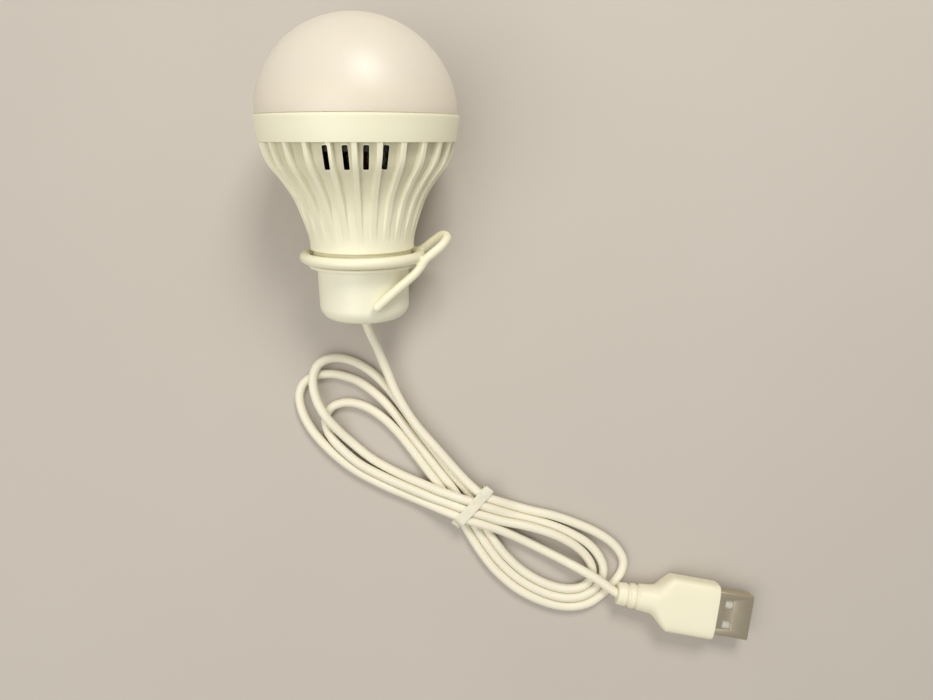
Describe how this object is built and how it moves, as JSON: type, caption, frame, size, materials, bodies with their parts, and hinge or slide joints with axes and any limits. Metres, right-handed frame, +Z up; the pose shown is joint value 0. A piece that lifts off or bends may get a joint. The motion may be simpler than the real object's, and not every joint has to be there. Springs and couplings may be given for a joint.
{
  "type": "usb light bulb",
  "caption": "USB-powered LED bulb with an opal dome, ribbed housing, swivelling hanger and a lead in a tied hank ending in a USB plug.",
  "frame": {"origin": "bottom centre of the bulb's own box as it lies on its side, the lead and plug left out", "axes": "+Z up, +Y from the base to the dome as seen from above, +X to the bulb's right"},
  "size_m": [0.128, 0.1576, 0.0486],
  "materials": {
    "housing_cream": "satin moulded plastic",
    "base_cream": "satin moulded plastic",
    "opal_dome": "opal, smooth",
    "spreader_aluminium": "pressed, satin",
    "board_white": "white solder mask",
    "led_phosphor": "yellow phosphor",
    "resistor_black": "matt",
    "screw_steel": "zinc plated",
    "wire_red": "satin insulation",
    "wire_black": "satin insulation",
    "cord_pvc": "satin soft plastic",
    "tie_clear": "milky film",
    "plug_cream": "satin moulded plastic",
    "shell_nickel": "nickel plated, satin",
    "tongue_white": "satin",
    "contact_gold": "gold plated"
  },
  "bodies": {
    "bulb": {"housing": "housing_cream", "base_cap": "base_cream", "diffuser_dome": "opal_dome", "heat_spreader": "spreader_aluminium", "led_board": "board_white", "led_1": "led_phosphor", "led_2": "led_phosphor", "led_3": "led_phosphor", "led_4": "led_phosphor", "led_5": "led_phosphor", "led_6": "led_phosphor", "led_7": "led_phosphor", "led_8": "led_phosphor", "led_9": "led_phosphor", "led_10": "led_phosphor", "resistor_1": "resistor_black", "resistor_2": "resistor_black", "board_screw_1": "screw_steel", "board_screw_2": "screw_steel", "cord_stop": "screw_steel", "lead_positive": "wire_red", "lead_negative": "wire_black", "cord_run": "cord_pvc", "cord_hank": "cord_pvc", "cord_grommet": "cord_pvc", "cord_tie": "tie_clear", "plug_body": "plug_cream", "plug_shell": "shell_nickel", "plug_tongue": "tongue_white", "plug_contact_1": "contact_gold", "plug_contact_2": "contact_gold", "plug_contact_3": "contact_gold", "plug_contact_4": "contact_gold"},
    "hanger": {"hanger": "housing_cream"}
  },
  "joints": [
    {"name": "hanger_swivel", "type": "hinge", "parent": "bulb", "child": "hanger", "pos_m": [0, -0.01906, 0.01517], "axis": [0, 0.9614, 0.275], "continuous": true}
  ]
}
